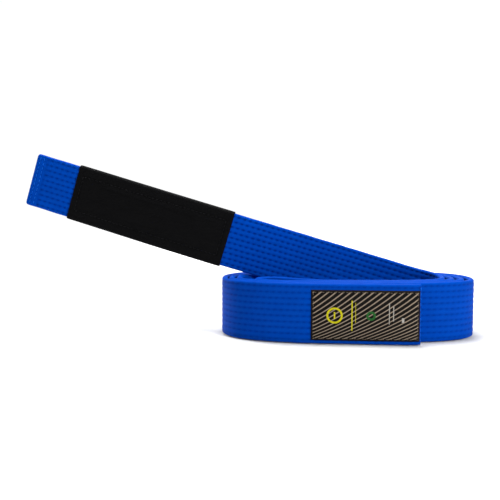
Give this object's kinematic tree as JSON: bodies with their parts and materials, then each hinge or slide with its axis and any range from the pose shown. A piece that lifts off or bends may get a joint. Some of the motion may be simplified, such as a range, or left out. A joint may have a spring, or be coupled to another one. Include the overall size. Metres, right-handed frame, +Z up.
{
  "type": "martial arts belt",
  "caption": "Flat stitched cotton martial arts belt coiled on its edge, with a woven label on the outer end and a black rank sleeve on the raised tail.",
  "frame": {"origin": "below the centre of the whole box, at the height of the belt's lower edge", "axes": "+Z up, along the width of the coiled belt; +X to the right along the coil's long side, away from the tail's tip; +Y through the coil, away from the labelled face"},
  "size_m": [0.3296, 0.09, 0.1297],
  "materials": {
    "blue_cotton": "stitched twill",
    "blue_thread": "polyester thread",
    "core_padding": "raw cotton",
    "black_cotton": "matt twill",
    "black_thread": "polyester thread",
    "woven_label": "woven satin",
    "label_thread": "polyester thread"
  },
  "bodies": {
    "coil": {"coil_cover": "blue_cotton", "coil_inner_ply": "core_padding", "coil_outer_ply": "core_padding"},
    "label_flap": {"label_flap_cover": "blue_cotton", "label_flap_inner_ply": "core_padding", "label_flap_outer_ply": "core_padding", "woven_label": "woven_label", "label_border_stitching": "label_thread", "label_end_hem_stitching": "blue_thread"},
    "tail": {"tail_cover": "blue_cotton", "tail_inner_ply": "core_padding", "tail_outer_ply": "core_padding", "rank_sleeve": "black_cotton", "sleeve_stitching_inner": "black_thread", "sleeve_stitching_outer": "black_thread"},
    "tip": {"tip_cover": "blue_cotton", "tip_inner_ply": "core_padding", "tip_outer_ply": "core_padding", "tip_hem_stitching_inner": "blue_thread", "tip_hem_stitching_outer": "blue_thread"}
  },
  "joints": [
    {"name": "label_end_hinge", "type": "hinge", "parent": "coil", "child": "label_flap", "pos_m": [0.04248, -0.03778, 0.02], "axis": [0, 0, -1], "range_deg": [0, 75]},
    {"name": "tail_hinge", "type": "hinge", "parent": "coil", "child": "tail", "pos_m": [-0.00351, 0.01455, 0.06375], "axis": [0.2869, 0.0159, 0.9578], "range_deg": [-65, 65]},
    {"name": "tip_hinge", "type": "hinge", "parent": "tail", "child": "tip", "pos_m": [-0.12894, 0.02413, 0.10154], "axis": [0.2861, -0.027, 0.9578], "range_deg": [-75, 75]}
  ]
}
